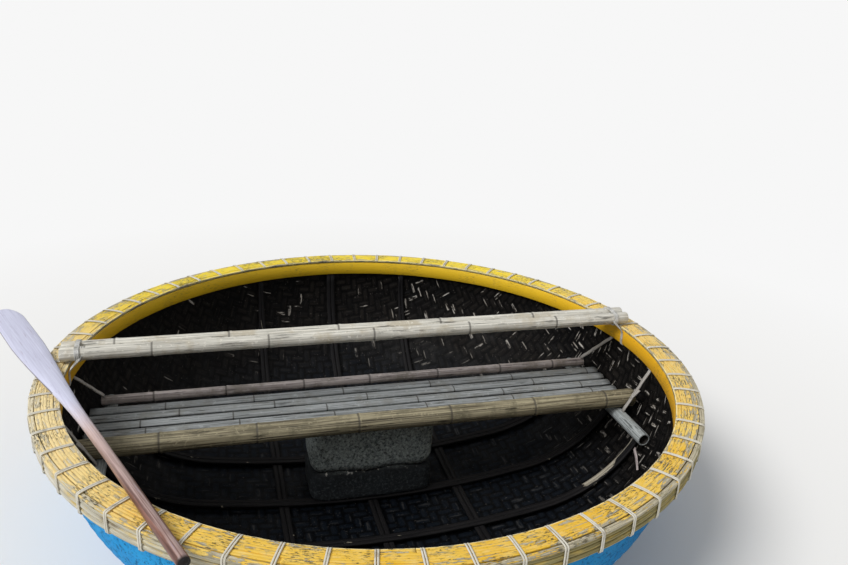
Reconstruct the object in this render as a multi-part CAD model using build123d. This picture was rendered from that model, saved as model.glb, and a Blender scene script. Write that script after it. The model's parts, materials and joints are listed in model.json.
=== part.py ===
from build123d import *
import os
from math import asin, atan2, copysign, cos, degrees, pi, radians, sin, sqrt

# Round basket boat: a woven bowl of split bamboo, tarred inside and painted outside, its edge
# pinched between an inner and an outer hoop and capped with painted strips.
# Millimetres. Z is up and zero at the water; X runs along the bench; the paddle lies over -X -Y.

# Overall sizes
rim_radius = 997.0        # outer face of the outer hoop
freeboard = 470.0         # rim top above the water
hull_depth = 565.0        # rim top down to the keel point of the bowl
seat_gap = 0.3            # clearance between pieces that rest on each other

# Hull shell, in straight courses along two arcs and flat from lashing to lashing
hull_wall = 12.0
bottom_sag = 46.0         # keel point below the lowest level of the bilge arcs
side_courses = 5
bottom_courses = 2

# Rim
rim_width = 78.0          # inner face of the inner hoop to outer face of the outer hoop
inner_hoop_thick = 15.0
inner_hoop_height = 52.0
outer_hoop_height = 44.0
strip_count = 5
strip_slit = 1.2          # opening between two strips
strip_thick = 8.0         # at the rim's inner and outer edges
rim_crown = 3.0           # how far the middle strip stands above the edge strips
lashing_count = 60
lashing_width = 8.0
lashing_thick = 2.4
lashing_setback = 3.0     # from the rim's inner edge

# Ribs of split bamboo, in two crossing layers
rib_width = 34.0
rib_thick = 8.0
lower_rib_places = (-300.0, 0.0, 300.0)   # x of the fore-and-aft ribs
upper_rib_places = (-237.0, 0.0, 237.0)   # y of the athwart ribs

# Bench
bench_drop = 205.0        # rim top down to the top of the slats
bench_end_clear = 21.0    # from the bench's ends to the hull
slat_count = 5
slat_width = 38.0
slat_pitch = 50.0
slat_edge_height = 7.0
slat_crown = 5.0
first_slat_y = -35.0      # middle of the front slat
bench_pole_radius = 30.0
bench_pole_y = -98.0
rear_culm_radius = 15.5
rear_culm_clear = 15.5    # from the last slat to the thin culm behind it
bearer_reach = 285.0      # half the length of a bearer
bearer_radius = 22.0
bearer_bite = 12.0        # how far a bearer's outer corner is trimmed by the hull
hanger_width = 14.0
hanger_thick = 5.0
hanger_inset = 10.0       # from the rear culm's end to the middle of a hanger's foot
rear_hanger_head_y = 130.0

# Block under the middle of the bench
block_half_width = 215.0
block_front_y = -20.0
block_back_y = 190.0
block_edge_radius = 26.0
block_upper_height = 205.0

# Poles tied across the rim
rim_pole_radius = 21.0
rim_pole_setback = 57.0   # from the rim's outer edge to a pole's end
front_rim_pole_y = 100.0
tie_thick = 5.0
tie_width = 16.0
tie_inset = 12.0          # clear of the inner hoop

# Bamboo culms
culm_wall = 6.0
culm_bore_depth = 130.0
culm_node_rise = 2.0
culm_node_length = 9.0
rim_pole_nodes = 3
bench_pole_nodes = 3
rear_culm_nodes = 3

# Paddle
paddle_shaft_radius = 14.5
paddle_shaft_length = 650.0
paddle_taper_length = 550.0
paddle_root_half = 10.0       # half the blade's square root, inside the shaft
paddle_ridge_end = 6.0        # radius at which the shaft runs out inside the blade
paddle_blade_length = 330.0
paddle_blade_width = 93.0
paddle_blade_thick = 14.0
paddle_tip_thick = 10.0
paddle_bearing_deg = 113.3    # direction of the blade from +X
paddle_cross_deg = 226.7      # where the shaft crosses the rim
paddle_overhang = 206.0       # handle end beyond that crossing
paddle_touch_side = 1.1       # how far off the shaft's line its taper meets the rim

# Worked-out places
rim_top = freeboard
rim_inner_radius = rim_radius - rim_width
lashing_top = rim_top + seat_gap + lashing_thick
strip_seat = rim_top - strip_thick - rim_crown
hull_top = strip_seat - seat_gap
hull_radius = rim_inner_radius + inner_hoop_thick + seat_gap + hull_wall
inner_hoop_bottom = hull_top - inner_hoop_height
outer_hoop_bottom = hull_top - outer_hoop_height
arc_top = inner_hoop_bottom - seat_gap
keel_z = rim_top - hull_depth
arc_depth = arc_top - keel_z
side_arc_radius = arc_depth - bottom_sag
bottom_arc_radius = (hull_radius**2 + arc_depth**2 - 2 * hull_radius * side_arc_radius) / (
    2 * bottom_sag
)
side_centre = (hull_radius - side_arc_radius, arc_top)
bottom_centre = (0.0, keel_z + bottom_arc_radius)
turn_angle = atan2(bottom_centre[1] - side_centre[1], side_centre[0])
first_lashing_deg = degrees(asin(front_rim_pole_y / rim_radius))
last_slat_y = first_slat_y + (slat_count - 1) * slat_pitch
bench_top = rim_top - bench_drop
slat_seat = bench_top - slat_edge_height - slat_crown
bearer_z = slat_seat - seat_gap - bearer_radius
bench_pole_z = slat_seat + bench_pole_radius
rear_culm_y = last_slat_y + slat_width / 2 + rear_culm_clear + rear_culm_radius
rear_culm_z = slat_seat + rear_culm_radius
block_top = slat_seat - culm_node_rise - seat_gap
rim_pole_z = lashing_top + seat_gap + rim_pole_radius
rear_rim_pole_y = front_rim_pole_y + 2 * rim_pole_radius + culm_node_rise + seat_gap
rib_inset = hull_wall + seat_gap
upper_rib_inset = rib_inset + rib_thick + seat_gap
rib_top_inset = upper_rib_inset + rib_thick


def corners(radius, z):
    """Corners of a hoop or of a level of the bowl, one at each lashing."""
    angles = [radians(first_lashing_deg + 360 / lashing_count * i) for i in range(lashing_count)]
    return [(radius * cos(angle), radius * sin(angle), z) for angle in angles]


def ring(inner, outer, low, high):
    """Plain hoop of rectangular section, straight from lashing to lashing."""
    around = Face(Wire.make_polygon(corners(outer, low)))
    within = Face(Wire.make_polygon(corners(inner, low)))
    return extrude(around, high - low, (0, 0, 1)) - extrude(within, high - low, (0, 0, 1))


def bowl(inset, top):
    """Solid that fills the bowl up to a level, its wall an even distance inside the hull's outside."""
    side = side_arc_radius - inset
    bottom = bottom_arc_radius - inset
    levels = [corners(hull_radius - inset, top)]
    for i in range(side_courses + 1):
        angle = turn_angle * i / side_courses
        levels.append(corners(side_centre[0] + side * cos(angle), side_centre[1] - side * sin(angle)))
    for i in range(1, bottom_courses):
        angle = turn_angle + (pi / 2 - turn_angle) * i / bottom_courses
        levels.append(corners(bottom * cos(angle), bottom_centre[1] - bottom * sin(angle)))
    outlines = [levels[0]]
    for i in range(lashing_count):
        for upper, lower in zip(levels, levels[1:]):
            outlines.append((upper[i - 1], upper[i], lower[i], lower[i - 1]))
        outlines.append((levels[-1][i - 1], levels[-1][i], (0, 0, keel_z + inset)))
    return Solid(Shell([Face(Wire.make_polygon(outline)) for outline in outlines]))


def bowl_radius(inset, z):
    """Radius of the bowl's wall at a height on its bilge arc."""
    side = side_arc_radius - inset
    drop = side_centre[1] - z
    return side_centre[0] + sqrt(side**2 - drop**2)


def make_hull():
    """Woven shell, one even wall from the keel point up to the capping."""
    return bowl(0, hull_top) - bowl(hull_wall, hull_top + 1)


def make_rim_strip(index):
    """One of the split bamboo hoops that cap the rim."""
    pitch = (rim_width + strip_slit) / strip_count
    inner = rim_inner_radius + index * pitch
    outer = inner + pitch - strip_slit
    share = ((inner + outer) / 2 - rim_inner_radius) / rim_width
    height = strip_thick + rim_crown * 4 * share * (1 - share)
    return ring(inner, outer, strip_seat, strip_seat + height)


def make_rim_lashings():
    """Flat cane bands bound over the capping and round the outer hoop, back to the hull."""
    band = lashing_thick
    head = rim_inner_radius + lashing_setback
    over = lashing_top - band
    outside = rim_radius + seat_gap
    under = outer_hoop_bottom - seat_gap
    foot = hull_radius + seat_gap
    with BuildSketch(Plane.XZ) as section:
        Polygon(
            (head, over),
            (outside, over),
            (outside, under),
            (foot, under),
            (foot, under - band),
            (outside + band, under - band),
            (outside + band, over + band),
            (head, over + band),
            align=None,
        )
    lashing = extrude(section.sketch, lashing_width / 2, both=True)
    step = 360 / lashing_count
    return [Rot(0, 0, first_lashing_deg + step * i) * lashing for i in range(lashing_count)]


def make_ribs(inset, slabs):
    """Strips that line the bowl at an even distance, one where each slab cuts it."""
    outside = bowl(inset, hull_top)
    inside = bowl(inset + rib_thick, hull_top + 1)
    return [(slab & outside) - inside for slab in slabs]


def rib_slab(length, width, top):
    """Upright slab as wide as a rib, ending at a level."""
    align = (Align.CENTER, Align.CENTER, Align.MAX)
    return Pos(0, 0, top) * Box(length, width, 2 * hull_depth, align=align)


def make_lower_ribs():
    """Fore-and-aft ribs, from the inner hoop down under the bench and up again."""
    slab = rib_slab(rib_width, 2 * rim_radius, arc_top)
    return make_ribs(rib_inset, [Pos(x, 0, 0) * slab for x in lower_rib_places])


def make_upper_ribs():
    """Athwart ribs, lying on the others and ending under the bench's bearers."""
    slab = rib_slab(2 * rim_radius, rib_width, bearer_z - bearer_radius - seat_gap)
    return make_ribs(upper_rib_inset, [Pos(0, y, 0) * slab for y in upper_rib_places])


def even_nodes(length, count, phase):
    """Places of a culm's nodes, evenly spaced, starting part of a space from its end."""
    return [length / count * (i + phase) for i in range(count)]


def culm(length, radius, nodes, bore_depth):
    """Bamboo culm along +X from the origin: open at its ends, with a ridge at each node."""
    bore = radius - culm_wall
    half = culm_node_length / 2
    ridge = radius + culm_node_rise
    outline = [(bore_depth, 0), (bore_depth, bore), (0, bore), (0, radius)]
    for node in nodes:
        outline += [(node - half, radius), (node, ridge), (node + half, radius)]
    far = length - bore_depth
    outline += [(length, radius), (length, bore), (far, bore), (far, 0)]
    with BuildSketch() as section:
        Polygon(*outline, align=None)
    return revolve(section.sketch, Axis.X)


def bench_half_length():
    """Half the length of the middle slats and of the front pole."""
    return bowl_radius(hull_wall, slat_seat) - bench_end_clear


def make_bench_slat(index):
    """Split bamboo slat with its rounded back up, laid across the bearers."""
    y = first_slat_y + index * slat_pitch
    half = slat_width / 2
    shoulder = slat_seat + slat_edge_height
    half_length = bench_half_length()
    with BuildSketch(Plane.YZ.offset(-half_length)) as section:
        with BuildLine():
            Line((y - half, slat_seat), (y + half, slat_seat))
            Line((y + half, slat_seat), (y + half, shoulder))
            ThreePointArc((y + half, shoulder), (y, shoulder + slat_crown), (y - half, shoulder))
            Line((y - half, shoulder), (y - half, slat_seat))
        make_face()
    return extrude(section.sketch, 2 * half_length) & bowl(rib_inset, hull_top)


def make_bench_pole():
    """Thick culm along the bench's front edge."""
    length = 2 * bench_half_length()
    nodes = even_nodes(length, bench_pole_nodes, 0.5)
    pole = culm(length, bench_pole_radius, nodes, culm_bore_depth)
    return Pos(-length / 2, bench_pole_y, bench_pole_z) * pole


def rear_culm_half_length():
    """Half the length of the thin culm, as far from the hull as the bench's other ends."""
    return sqrt(bench_half_length() ** 2 - (rear_culm_y + rear_culm_radius) ** 2)


def make_rear_culm():
    """Thin culm along the bench's rear edge."""
    length = 2 * rear_culm_half_length()
    nodes = even_nodes(length, rear_culm_nodes, 0.5)
    pole = culm(length, rear_culm_radius, nodes, culm_bore_depth)
    return Pos(-length / 2, rear_culm_y, rear_culm_z) * pole


def bearer_x():
    """Line of a bearer, whose ends' outer corners meet the hull."""
    return sqrt(bowl_radius(hull_wall, bearer_z) ** 2 - (bearer_reach - bearer_bite) ** 2) - bearer_radius


def make_bearer(side):
    """Culm under the bench, wedged fore and aft between the hull's sides."""
    pole = Rot(0, 0, 90) * culm(2 * bearer_reach, bearer_radius, (), culm_bore_depth)
    return Pos(side * bearer_x(), -bearer_reach, bearer_z) * pole & bowl(rib_inset, hull_top)


def make_hanger(foot, head_y):
    """Slanting strip tucked under the inner hoop, down to its foot on the piece it holds."""
    head_radius = rim_inner_radius + inner_hoop_thick / 2
    head_x = copysign(sqrt(head_radius**2 - head_y**2), foot.X)
    head = Vector(head_x, head_y, inner_hoop_bottom - seat_gap)
    end = Pos(foot) * Rectangle(hanger_thick, hanger_width)
    return Solid.extrude(end.face(), head - foot) & bowl(rib_inset, hull_top)


def make_front_hanger(side):
    """Strip down to a bearer, just in front of the thick pole."""
    y = bench_pole_y - bench_pole_radius - culm_node_rise - seat_gap - hanger_width / 2
    return make_hanger(Vector(side * bearer_x(), y, slat_seat), y)


def make_rear_hanger(side):
    """Strip down to the end of the thin culm, leaning back from its head."""
    x = rear_culm_half_length() - hanger_inset
    foot = Vector(side * x, rear_culm_y, rear_culm_z + rear_culm_radius + seat_gap)
    return make_hanger(foot, rear_hanger_head_y)


def block_piece(low, high):
    """Part of the rounded block between two levels."""
    half_width = block_half_width - block_edge_radius
    half_depth = (block_back_y - block_front_y) / 2 - block_edge_radius
    outline = []
    for quarter, along, across in ((0, 1, 1), (90, -1, 1), (180, -1, -1), (270, 1, -1)):
        for turn in (0, 30, 60, 90):
            angle = radians(quarter + turn)
            x = along * half_width + block_edge_radius * cos(angle)
            outline.append((x, across * half_depth + block_edge_radius * sin(angle)))
    with BuildSketch(Plane.XY.offset(low)) as level:
        with Locations((0, (block_front_y + block_back_y) / 2)):
            Polygon(*outline, align=None)
    return extrude(level.sketch, high - low)


def make_block_upper():
    return block_piece(block_top - block_upper_height, block_top)


def make_block_lower():
    """Foot of the block, cut to the ribs that it stands on."""
    piece = block_piece(keel_z, block_top - block_upper_height - seat_gap)
    return piece & bowl(rib_top_inset + seat_gap, hull_top)


def make_rim_pole(y, phase):
    """Culm laid over the rim from side to side."""
    length = 2 * (rim_radius - rim_pole_setback)
    nodes = even_nodes(length, rim_pole_nodes, phase)
    pole = culm(length, rim_pole_radius, nodes, culm_bore_depth)
    return Pos(-length / 2, y, rim_pole_z) * pole


def tie_outline(radius):
    """Eight-cornered loop that touches a circle of this radius round each of the two poles."""
    corner = radius / cos(pi / 8)
    outline = []
    for y, turn in ((rear_rim_pole_y, -90), (front_rim_pole_y, 90)):
        for step in (22.5, 67.5, 112.5, 157.5):
            angle = radians(turn + step)
            outline.append((y + corner * cos(angle), rim_pole_z + corner * sin(angle)))
    return outline


def make_pole_tie(side):
    """Cord wound round both poles, just inside the rim."""
    inside = rim_pole_radius + seat_gap
    outside = inside + tie_thick
    x = sqrt(rim_inner_radius**2 - (rear_rim_pole_y + outside) ** 2) - tie_inset
    with BuildSketch(Plane.YZ.offset(side * x)) as section:
        Polygon(*tie_outline(outside), align=None)
        Polygon(*tie_outline(inside), align=None, mode=Mode.SUBTRACT)
    return extrude(section.sketch, tie_width / 2, both=True)


def make_paddle():
    """Carved paddle along +X: a round shaft that runs out into a long blade with a rounded tip."""
    start = paddle_shaft_length
    spread = start + paddle_taper_length
    end = spread + paddle_blade_length
    root = paddle_root_half
    half = paddle_blade_width / 2
    with BuildSketch() as plan:
        with BuildLine():
            Polyline((end - half, half), (spread, half), (start, root), (start, -root))
            Polyline((start, -root), (spread, -half), (end - half, -half))
            ThreePointArc((end - half, -half), (end, 0), (end - half, half))
        make_face()
    upper = [(start, root), (spread, paddle_blade_thick / 2), (end, paddle_tip_thick / 2)]
    lower = [(x, -z) for x, z in reversed(upper)]
    with BuildSketch(Plane.XZ) as edge:
        Polygon(*upper, *lower, align=None)
    blade = extrude(plan.sketch, root, both=True) & extrude(edge.sketch, half, both=True)
    radius = paddle_shaft_radius
    with BuildSketch() as profile:
        Polygon((0, 0), (0, radius), (start, radius), (spread, paddle_ridge_end), (spread, 0), align=None)
    return revolve(profile.sketch, Axis.X) + blade


def place_paddle(paddle):
    """Lays the paddle over the rim, its shaft on one crossing and its taper on the other."""
    cross = rim_radius - rim_width / 2
    slant = radians(paddle_bearing_deg - paddle_cross_deg)
    middle = paddle_overhang + cross * abs(cos(slant))
    off_centre = cross * abs(sin(slant))
    head = rim_inner_radius + lashing_setback
    near = middle - sqrt(head**2 - off_centre**2)
    far = middle + sqrt(head**2 - (off_centre + paddle_touch_side) ** 2)
    share = (far - paddle_shaft_length) / paddle_taper_length
    ridge = paddle_shaft_radius + share * (paddle_ridge_end - paddle_shaft_radius)
    drop = paddle_shaft_radius - sqrt(ridge**2 - paddle_touch_side**2)
    tilt = degrees(atan2(drop, far - near))
    ahead = radians(paddle_bearing_deg)
    where = radians(paddle_cross_deg)
    x = cross * cos(where) + (near - paddle_overhang) * cos(ahead)
    y = cross * sin(where) + (near - paddle_overhang) * sin(ahead)
    z = lashing_top + seat_gap + paddle_shaft_radius
    lying = Rot(0, tilt, 0) * (Pos(-near, 0, 0) * paddle)
    return Pos(x, y, z) * (Rot(0, 0, paddle_bearing_deg) * lying)


def build():
    """Every piece of the boat by its name."""
    pieces = {
        "hull": make_hull(),
        "inner_hoop": ring(
            rim_inner_radius, rim_inner_radius + inner_hoop_thick, inner_hoop_bottom, hull_top
        ),
        "outer_hoop": ring(hull_radius + seat_gap, rim_radius, outer_hoop_bottom, hull_top),
        "rim_lashings": make_rim_lashings(),
        "lower_ribs": make_lower_ribs(),
        "upper_ribs": make_upper_ribs(),
        "bench_pole": make_bench_pole(),
        "bench_rear_culm": make_rear_culm(),
        "bearer_left": make_bearer(-1),
        "bearer_right": make_bearer(1),
        "block_upper": make_block_upper(),
        "block_lower": make_block_lower(),
        "rim_pole_front": make_rim_pole(front_rim_pole_y, 0.6),
        "rim_pole_rear": make_rim_pole(rear_rim_pole_y, 0.35),
        "pole_tie_left": make_pole_tie(-1),
        "pole_tie_right": make_pole_tie(1),
        "paddle": place_paddle(make_paddle()),
    }
    for index in range(strip_count):
        pieces[f"rim_strip_{index + 1}"] = make_rim_strip(index)
    for index in range(slat_count):
        pieces[f"bench_slat_{index + 1}"] = make_bench_slat(index)
    for side, hand in ((-1, "left"), (1, "right")):
        pieces[f"hanger_front_{hand}"] = make_front_hanger(side)
        pieces[f"hanger_rear_{hand}"] = make_rear_hanger(side)
    return pieces


os.makedirs("parts", exist_ok=True)
for name, shape in build().items():
    solids = shape if isinstance(shape, list) else [shape]
    whole = Compound(children=[s for part in solids for s in part.solids()])
    export_step(whole, f"parts/{name}.step")
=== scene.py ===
import json
import random
from math import atan2, ceil, cos, hypot, pi, radians, sin, sqrt

import bmesh
import bpy
from mathutils import Matrix, Vector, noise


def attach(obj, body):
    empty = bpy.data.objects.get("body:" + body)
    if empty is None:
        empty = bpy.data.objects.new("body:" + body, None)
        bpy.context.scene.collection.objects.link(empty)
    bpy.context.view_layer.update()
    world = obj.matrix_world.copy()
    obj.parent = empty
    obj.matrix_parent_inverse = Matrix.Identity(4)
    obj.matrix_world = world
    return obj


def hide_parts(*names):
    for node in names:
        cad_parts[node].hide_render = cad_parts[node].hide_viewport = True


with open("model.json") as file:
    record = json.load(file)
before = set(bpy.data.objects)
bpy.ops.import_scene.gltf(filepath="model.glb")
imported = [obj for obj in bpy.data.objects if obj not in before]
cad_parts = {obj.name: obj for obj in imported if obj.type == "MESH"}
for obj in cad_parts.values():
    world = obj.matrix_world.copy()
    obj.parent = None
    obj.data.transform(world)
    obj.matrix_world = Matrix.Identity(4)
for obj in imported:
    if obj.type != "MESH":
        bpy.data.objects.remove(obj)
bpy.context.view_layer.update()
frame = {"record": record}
water = frame["record"]["physics"]["held_by_mount"]
water_level = next(m["pos_m"][2] for m in frame["record"]["mounts"] if m["name"] == water)
chance = random.Random(7)

# Camera. It stands above the front of the boat and a little to the left, and looks down into
# the bowl.
camera_place = Vector((-0.503, -2.177, 1.554))
camera_right = Vector((0.962, -0.266, 0.051))
camera_up = Vector((0.047, 0.350, 0.935))


def in_scene(name, data):
    """A new object of a mesh, a curve, a lamp or a camera."""
    made = bpy.data.objects.new(name, data)
    bpy.context.scene.collection.objects.link(made)
    return made


camera_data = bpy.data.cameras.new("camera")
camera_data.lens = 32.9
camera_data.sensor_width = 36.0
camera = in_scene("camera", camera_data)
back = camera_right.cross(camera_up).normalized()
side = camera_up.cross(back).normalized()
turned = Matrix((side, back.cross(side), back)).transposed().to_4x4()
camera.matrix_world = Matrix.Translation(camera_place) @ turned
bpy.context.scene.camera = camera

# Hull. A mat of split bamboo, two strips over and two under, pressed into a round bowl and
# rubbed with tar. Each strip is a few thin splints side by side. The mat is left black inside,
# where the tar has worn off single splints, and painted blue outside.
bowl_radius = 0.9463
bilge_top = 0.4064
keel = -0.095
bottom_sag = 0.046
bilge_radius = bilge_top - keel - bottom_sag
hull_top = 0.4587
hull_wall = 0.012
strip_width = 0.028
weave_lift = 0.0022
bilge_centre = bowl_radius - bilge_radius
bottom_radius = (bowl_radius**2 + (bilge_top - keel) ** 2 - 2 * bowl_radius * bilge_radius) / (
    2 * bottom_sag
)
bilge_turn = atan2(keel + bottom_radius - bilge_top, bilge_centre)
bottom_run = bottom_radius * (pi / 2 - bilge_turn)
bilge_run = bilge_radius * bilge_turn
rim_run = bottom_run + bilge_run + hull_top - bilge_top


def wavy(x, y, z):
    """A smooth random value from about -1 to 1."""
    return noise.noise(Vector((x, y, z)))


def edges_in(geom):
    return [e for e in geom if isinstance(e, bmesh.types.BMEdge)]


def section(run, inset):
    """Radius and height on the bowl, a run up from its keel point and an inset in from outside."""
    if run < bottom_run:
        turn = run / bottom_radius
        round_bottom = bottom_radius - inset
        return round_bottom * sin(turn), keel + bottom_radius - round_bottom * cos(turn)
    if run < bottom_run + bilge_run:
        turn = bilge_turn - (run - bottom_run) / bilge_radius
        round_side = bilge_radius - inset
        return bilge_centre + round_side * cos(turn), bilge_top - round_side * sin(turn)
    return bowl_radius - inset, bilge_top + run - bottom_run - bilge_run


def over_and_under(across, along):
    """Lift of the mat at a place counted in strips: 1 on the back of a strip, 0 in a gap."""
    i, j = int(across // 1), int(along // 1)
    u, v = across - i, along - j
    step = (i + j) % 4
    edge = 0.02
    if step < 2:
        back = (step + u) / 2
        if v < edge or (u < edge and step == 0):
            return 0.0
    else:
        back = (step - 2 + v) / 2
        if u < edge or (v < edge and step == 2):
            return 0.0
    return 0.45 + 0.55 * sin(pi * min(max(back, 0.04), 0.96))


def mat(bm, cuts, inset, outward):
    """Lays a woven skin in the bowl, each strip as cuts splints. Every splint gets its own tint."""
    gap = bm.verts.layers.float["gap"]
    tint = bm.faces.layers.float["tint"]
    fibres = bm.loops.layers.uv["grain"]
    skin_sag = 0.0015
    spare = 2
    count = 2 * ceil(1.03 * rim_run / strip_width)
    made = bmesh.ops.create_grid(bm, x_segments=count * cuts, y_segments=count * cuts, size=0.5)
    verts = made["verts"]
    reach = rim_run / strip_width + spare
    off = [v for v in verts if hypot(v.co.x, v.co.y) * count > reach]
    bmesh.ops.delete(bm, geom=off, context="VERTS")
    verts = [v for v in verts if v.is_valid]
    spots = {}
    for v in verts:
        across = round((v.co.x + 0.5) * count * cuts) / cuts
        along = round((v.co.y + 0.5) * count * cuts) / cuts
        spots[v] = (across, along)
        x, y = (across - count / 2) * strip_width, (along - count / 2) * strip_width
        run = hypot(x, y)
        lift = over_and_under(across, along)
        radius, height = section(run, inset + outward * weave_lift * (1 - lift))
        sag = skin_sag * wavy(x * 3, y * 3, inset * 90)
        share = (radius + sag) / max(run, 1e-6)
        v.co = (x * share, y * share, height)
        v[gap] = 1 - lift
    faces = list({f for v in verts for f in v.link_faces})
    for face in faces:
        across = sum(spots[v][0] for v in face.verts) / 4
        along = sum(spots[v][1] for v in face.verts) / 4
        i, j = int(across), int(along)
        step = (i + j) % 4
        if step < 2:
            place = (i - step, j * cuts + int((along - j) * cuts))
        else:
            place = (j - step + 2, (i + count) * cuts + int((across - i) * cuts))
        face[tint] = (noise.cell(Vector((place[0] * 1.7, place[1] * 1.3, inset * 90))) + 1) / 2
        for loop in face.loops:
            a, b = spots[loop.vert]
            uv = (a, b) if step < 2 else (b + 3 * count, a + 5 * count)
            loop[fibres].uv = (uv[0] * strip_width, uv[1] * strip_width)
    if outward > 0:
        bmesh.ops.reverse_faces(bm, faces=faces)
    edges = list({e for f in faces for e in f.edges})
    cut = bmesh.ops.bisect_plane(
        bm, geom=verts + edges + faces, plane_co=(0, 0, hull_top), plane_no=(0, 0, 1), clear_outer=True
    )
    return edges_in(cut["geom_cut"])


def shaped(name, bm, *materials):
    """Makes a finished mesh an object of its materials."""
    mesh = bpy.data.meshes.new(name)
    bm.to_mesh(mesh)
    bm.free()
    for material in materials:
        mesh.materials.append(material)
    return in_scene(name, mesh)


def keep(name, bm, materials, node=None, body="boat"):
    """Makes a finished mesh a piece of the boat, or of another body, with its materials, and hides the
    part it replaces.
    """
    for face in bm.faces:
        face.smooth = True
    piece = shaped(name, bm, *materials)
    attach(piece, body)
    if node:
        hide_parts(node)


def finish(name, specular=0.5):
    """A new material and its shader."""
    material = bpy.data.materials.new(name)
    material.use_nodes = True
    shader = material.node_tree.nodes["Principled BSDF"]
    shader.inputs["Specular IOR Level"].default_value = specular
    return material, shader


def fill(node, values):
    """Sets a node's inputs, by name or number, and links those whose value is a socket."""
    for key, value in values.items():
        if isinstance(value, bpy.types.NodeSocket):
            node.id_data.links.new(value, node.inputs[key])
        else:
            node.inputs[key].default_value = value


def put(tree, kind, values=None, **settings):
    """Adds a node with its input values and its settings."""
    made = tree.nodes.new(kind)
    for key, value in settings.items():
        setattr(made, key, value)
    fill(made, values or {})
    return made


def maths(operation, first, second=0.0):
    values = {0: first, 1: second}
    return put(first.id_data, "ShaderNodeMath", values, operation=operation).outputs[0]


def times(first, second):
    return maths("MULTIPLY", first, second)


def plus(first, second):
    return maths("ADD", first, second)


def minus(first, second):
    return maths("SUBTRACT", first, second)


def vectors(operation, first, second=(0.0, 0.0, 0.0)):
    values = {0: first, 1: second}
    return put(first.id_data, "ShaderNodeVectorMath", values, operation=operation).outputs


def ramp(value, low, high, to_low=0.0, to_high=1.0):
    """Value stretched between two limits, and held to them."""
    values = {"Value": value, "From Min": low, "From Max": high, "To Min": to_low, "To Max": to_high}
    return put(value.id_data, "ShaderNodeMapRange", values, clamp=True).outputs[0]


def blend(share, first, second):
    """Colour between two colours, which are sockets or plain colours."""
    colours = [c if isinstance(c, bpy.types.NodeSocket) else (*c, 1) for c in (first, second)]
    values = {0: share, 6: colours[0], 7: colours[1]}
    return put(share.id_data, "ShaderNodeMix", values, data_type="RGBA").outputs[2]


def cover(colour, coat, value, low, high, most=1.0):
    """Colour under a coat that starts where a value is low and covers most of it at high."""
    return blend(ramp(value, low, high, 0.0, most), colour, coat)


def speckle(place, scale, detail=3.0, roughness=0.55):
    values = {"Vector": place, "Scale": scale, "Detail": detail, "Roughness": roughness}
    return put(place.id_data, "ShaderNodeTexNoise", values).outputs["Fac"]


def attribute(shader, name):
    return put(shader.id_data, "ShaderNodeAttribute", attribute_name=name).outputs["Fac"]


def where(shader):
    return put(shader.id_data, "ShaderNodeTexCoord").outputs["Object"]


def axes(place):
    return put(place.id_data, "ShaderNodeSeparateXYZ", {0: place}).outputs


def surface(shader, colour, height, depth, roughness):
    """Gives a material its colour, its relief of a depth in metres, and its roughness."""
    relief = put(shader.id_data, "ShaderNodeBump", {"Height": height, "Distance": depth})
    relief = relief.outputs["Normal"]
    fill(shader, {"Base Color": colour, "Normal": relief, "Roughness": roughness})


# Every piece of bamboo, cane or wood has a UV map in metres, with U along its fibres and V across
# them, and this group draws its streaks, cracks and height from it.
grain = bpy.data.node_groups.new("bamboo_grain", "ShaderNodeTree")
for name in ("Along", "Across", "Cracks"):
    grain.interface.new_socket(name, in_out="INPUT", socket_type="NodeSocketFloat")
grain.interface.new_socket("Place", in_out="OUTPUT", socket_type="NodeSocketVector")
for name in ("Streak", "Crack", "Height"):
    grain.interface.new_socket(name, in_out="OUTPUT", socket_type="NodeSocketFloat")
given = grain.nodes.new("NodeGroupInput").outputs
fibre = put(grain, "ShaderNodeUVMap", uv_map="grain").outputs[0]
stretch = {0: given["Along"], 1: given["Across"], 2: 1.0}
stretch = put(grain, "ShaderNodeCombineXYZ", stretch).outputs[0]
drawn = vectors("MULTIPLY", fibre, stretch)["Vector"]
fine = speckle(drawn, 1.0, 6.0, 0.6)
longer = vectors("MULTIPLY", drawn, (0.35, 1.9, 1.0))["Vector"]
split = plus(speckle(longer, 1.0, 4.0, 0.5), times(given["Cracks"], 0.1))
split = ramp(split, 0.70, 0.74)
shown = {"Place": fibre, "Streak": fine, "Crack": split, "Height": minus(fine, split)}
put(grain, "NodeGroupOutput", shown)


def grained(shader, along, across, cracks):
    """The grain group in a material, its streaks so many to a metre along and across the fibres."""
    values = {"Along": along, "Across": across, "Cracks": cracks}
    return put(shader.id_data, "ShaderNodeGroup", values, node_tree=grain).outputs


def fibrous(lines, along, across, detail, roughness=0.55):
    """Specks drawn out along the fibres, so many to a metre along and across them."""
    place = vectors("MULTIPLY", lines["Place"], (along, across, 1.0))["Vector"]
    return speckle(place, 1.0, detail, roughness)


hull_blue, shader = finish("hull_blue", 0.05)
lines = grained(shader, 9.0, 240.0, -0.05)
place = where(shader)
parts = axes(place)
gap = attribute(shader, "gap")
tint = attribute(shader, "tint")
paint = cover((0.014, 0.27, 0.62), (0.030, 0.36, 0.74), speckle(place, 2.2), 0.35, 0.7)
# Painted shade: the blue is painted much darker towards the right, the side away from the light.
paint = cover(paint, (0.003, 0.105, 0.26), parts["X"], 0.0, 0.6, 0.8)
paint = cover(paint, (0.006, 0.17, 0.50), tint, 0.2, 1.0, 0.28)
paint = cover(paint, (0.03, 0.42, 0.84), lines["Streak"], 0.5, 0.8, 0.35)
slit = times(ramp(gap, 0.62, 1.0), ramp(speckle(place, 70.0), 0.48, 0.62))
paint = blend(times(slit, 0.65), paint, (0.004, 0.05, 0.14))
fleck = ramp(speckle(place, 150.0, 2.0), 0.62, 0.67)
paint = blend(times(fleck, 0.75), paint, (0.006, 0.05, 0.13))
low_down = ramp(parts["Z"], 0.02, 0.10, 0.10, 0.0)
worn = ramp(plus(speckle(place, 9.0, 8.0, 0.68), low_down), 0.70, 0.74)
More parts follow.
